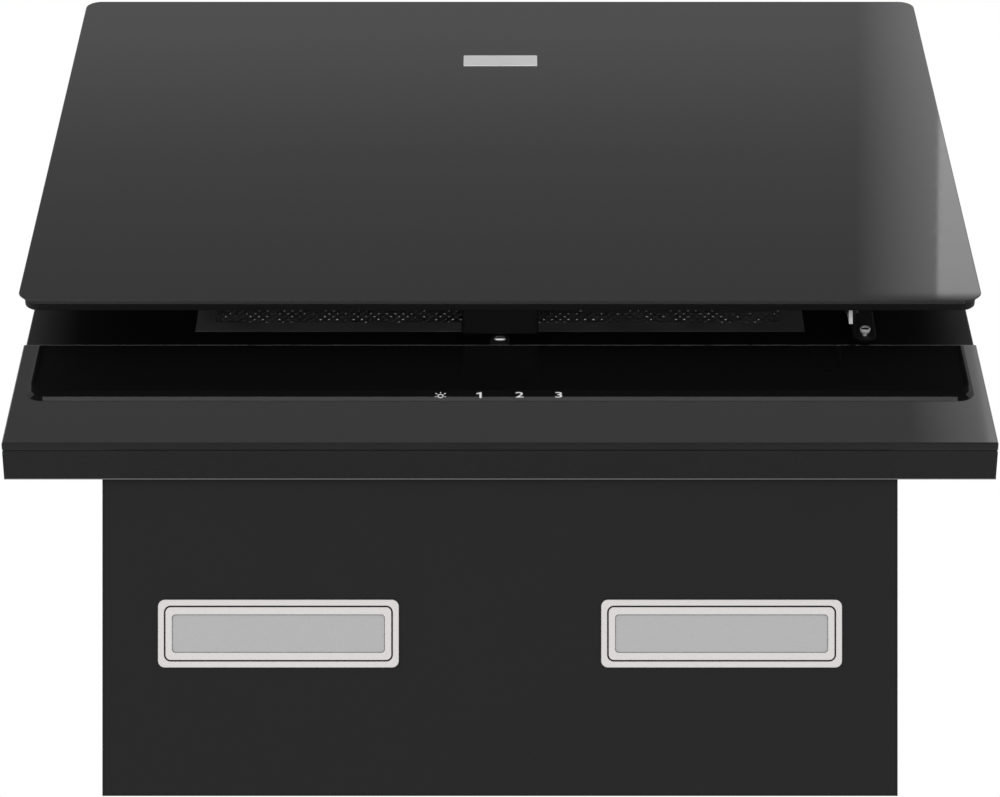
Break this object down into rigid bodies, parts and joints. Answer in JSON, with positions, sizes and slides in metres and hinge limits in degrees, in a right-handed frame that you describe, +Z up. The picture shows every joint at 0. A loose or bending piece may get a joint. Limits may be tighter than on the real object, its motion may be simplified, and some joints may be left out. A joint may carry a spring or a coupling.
{
  "type": "wall mount range hood",
  "caption": "Angled black wall hood: glass front panel hinged over a grease filter, touch glass strip, lit underside, blower with flapped round outlet.",
  "frame": {"origin": "on the wall plane, midway across the hood, at the level of its underside", "axes": "+X to the right seen from the front, +Y towards the wall, +Z up"},
  "size_m": [0.4996, 0.4402, 0.4323],
  "materials": {
    "black_paint": "matt",
    "black_glass": "gloss",
    "zinc_sheet": "satin",
    "bright_steel": "bright",
    "black_plastic": "matt",
    "filter_aluminium": "satin",
    "lamp_trim": "satin",
    "lamp_diffuser": "frosted",
    "circuit_board": "gloss",
    "motor_grey": "satin",
    "capacitor_white": "satin"
  },
  "bodies": {
    "hood": {"back_panel": "black_paint", "bottom_panel": "black_paint", "cable_gland": "black_plastic", "capacitor": "capacitor_white", "catch_magnet": "bright_steel", "collar_screws": "bright_steel", "control_board": "circuit_board", "control_box": "black_plastic", "control_cover": "black_plastic", "filter_frame": "filter_aluminium", "filter_mesh": "filter_aluminium", "filter_seat": "black_paint", "flap_pin_rod": "bright_steel", "front_tray": "black_paint", "left_hinge_pin": "bright_steel", "left_lamp_board": "circuit_board", "left_lamp_body": "lamp_trim", "left_lamp_diffuser": "lamp_diffuser", "left_lamp_trim": "lamp_trim", "left_scroll_half": "black_plastic", "left_side_panel": "black_paint", "left_tray_hinge": "zinc_sheet", "lower_glass": "black_glass", "motor": "motor_grey", "motor_bracket": "zinc_sheet", "outlet_collar": "black_plastic", "right_hinge_pin": "bright_steel", "right_lamp_board": "circuit_board", "right_lamp_body": "lamp_trim", "right_lamp_diffuser": "lamp_diffuser", "right_lamp_trim": "lamp_trim", "right_scroll_half": "black_plastic", "right_side_panel": "black_paint", "right_tray_hinge": "zinc_sheet", "stay_bracket": "black_paint", "stay_bracket_rivet": "bright_steel", "stay_screw": "bright_steel", "top_panel": "black_paint", "touch_board": "circuit_board", "touch_carrier": "black_plastic"},
    "front_panel": {"panel_glass": "black_glass", "panel_back_plate": "zinc_sheet", "left_panel_hinge": "zinc_sheet", "right_panel_hinge": "zinc_sheet", "catch_block": "black_plastic", "catch_striker": "bright_steel", "panel_stay_lug": "zinc_sheet", "panel_lug_rivet": "bright_steel"},
    "stay_lower": {"stay_lower_link": "bright_steel", "stay_elbow_rivet": "bright_steel"},
    "stay_upper": {"stay_upper_link": "black_paint"},
    "fan_wheel": {"impeller": "black_plastic", "motor_shaft": "bright_steel"},
    "front_damper": {"front_flap": "black_plastic"},
    "rear_damper": {"rear_flap": "black_plastic"},
    "latch": {"filter_latch": "black_plastic"}
  },
  "joints": [
    {"name": "panel_open", "type": "hinge", "parent": "hood", "child": "front_panel", "pos_m": [0, -0.40509, 0.35856], "axis": [-1, 0, 0], "range_deg": [0, 75]},
    {"name": "stay_lower_turn", "type": "hinge", "parent": "hood", "child": "stay_lower", "pos_m": [0, -0.24627, 0.08999], "axis": [1, 0, 0], "range_deg": [0, 7.49]},
    {"name": "stay_upper_turn", "type": "hinge", "parent": "front_panel", "child": "stay_upper", "pos_m": [0, -0.2519, 0.08674], "axis": [-1, 0, 0], "range_deg": [0, 7.49]},
    {"name": "fan_spin", "type": "hinge", "parent": "hood", "child": "fan_wheel", "pos_m": [0, -0.14, 0.2], "axis": [1, 0, 0], "continuous": true},
    {"name": "front_flap_open", "type": "hinge", "parent": "hood", "child": "front_damper", "pos_m": [0, -0.07925, 0.3923], "axis": [-1, 0, 0], "range_deg": [0, 80]},
    {"name": "rear_flap_open", "type": "hinge", "parent": "hood", "child": "rear_damper", "pos_m": [0, -0.07925, 0.3923], "axis": [1, 0, 0], "range_deg": [0, 80]},
    {"name": "latch_slide", "type": "slide", "parent": "hood", "child": "latch", "axis": [0, 0.5, -0.866], "range_m": [0, 0.006], "stiffness_N_per_m": 300, "springref_m": -0.004}
  ],
  "couplings": [
    {"joint": "stay_lower_turn", "follows": "panel_open", "ratio": 0.09721},
    {"joint": "stay_upper_turn", "follows": "panel_open", "ratio": 0.09721}
  ]
}
